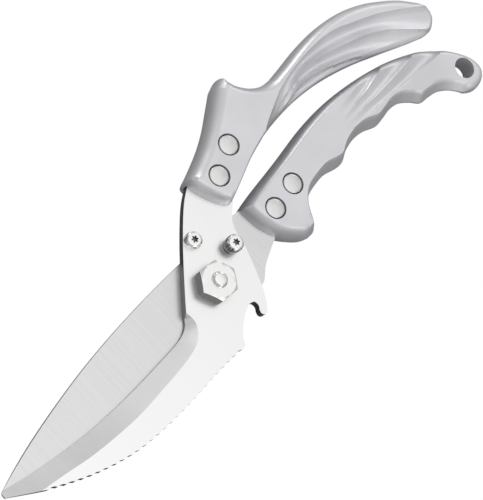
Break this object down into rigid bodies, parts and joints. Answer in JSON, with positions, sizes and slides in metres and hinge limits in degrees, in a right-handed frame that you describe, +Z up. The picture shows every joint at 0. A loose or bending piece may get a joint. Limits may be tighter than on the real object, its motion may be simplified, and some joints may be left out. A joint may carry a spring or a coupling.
{
  "type": "poultry shears",
  "caption": "Take-apart poultry shears: a curved toothed blade over a knife-shaped blade, cast handles, hex-nut pivot and a push lock.",
  "frame": {"origin": "centre of the part's footprint, on the surface it lies on (the back of the lower handle)", "axes": "+Y from the blade tips to the handles, +Z up from the back of the lower handle to the nut, +X towards the toothed outer edge of the curved blade"},
  "size_m": [0.0752, 0.2592, 0.0194],
  "materials": {
    "ground_steel": "smooth ground stainless steel",
    "brushed_steel": "stainless steel with coarse brush lines across the blade",
    "cast_alloy": "satin bead-blasted casting",
    "polished_steel": "polished",
    "spring_steel": "drawn wire"
  },
  "bodies": {
    "front_half": {"front_blade": "ground_steel", "front_handle": "cast_alloy", "pivot_stud": "polished_steel", "pivot_bush": "polished_steel", "pivot_nut": "polished_steel", "return_spring": "spring_steel", "stop_post": "polished_steel", "stop_screw": "polished_steel", "lock_spring": "spring_steel", "front_far_rivet_pin": "polished_steel", "front_far_rivet_sleeve": "polished_steel", "front_near_rivet_pin": "polished_steel", "front_near_rivet_sleeve": "polished_steel"},
    "rear_half": {"rear_blade": "brushed_steel", "rear_handle": "cast_alloy", "rear_far_rivet_pin": "polished_steel", "rear_far_rivet_sleeve": "polished_steel", "rear_near_rivet_pin": "polished_steel", "rear_near_rivet_sleeve": "polished_steel"},
    "lock": {"lock_pin": "polished_steel", "lock_screw": "polished_steel"}
  },
  "joints": [
    {"name": "blade_pivot", "type": "hinge", "parent": "front_half", "child": "rear_half", "pos_m": [0.01431, -0.02434, 0.00905], "axis": [0, 0, -1], "range_deg": [-2, 38.5], "deforming": ["return_spring"]},
    {"name": "lock_push", "type": "slide", "parent": "front_half", "child": "lock", "axis": [0, 0, -1], "range_m": [0, 0.001], "stiffness_N_per_m": 600, "springref_m": -0.002, "deforming": ["lock_spring"]}
  ]
}
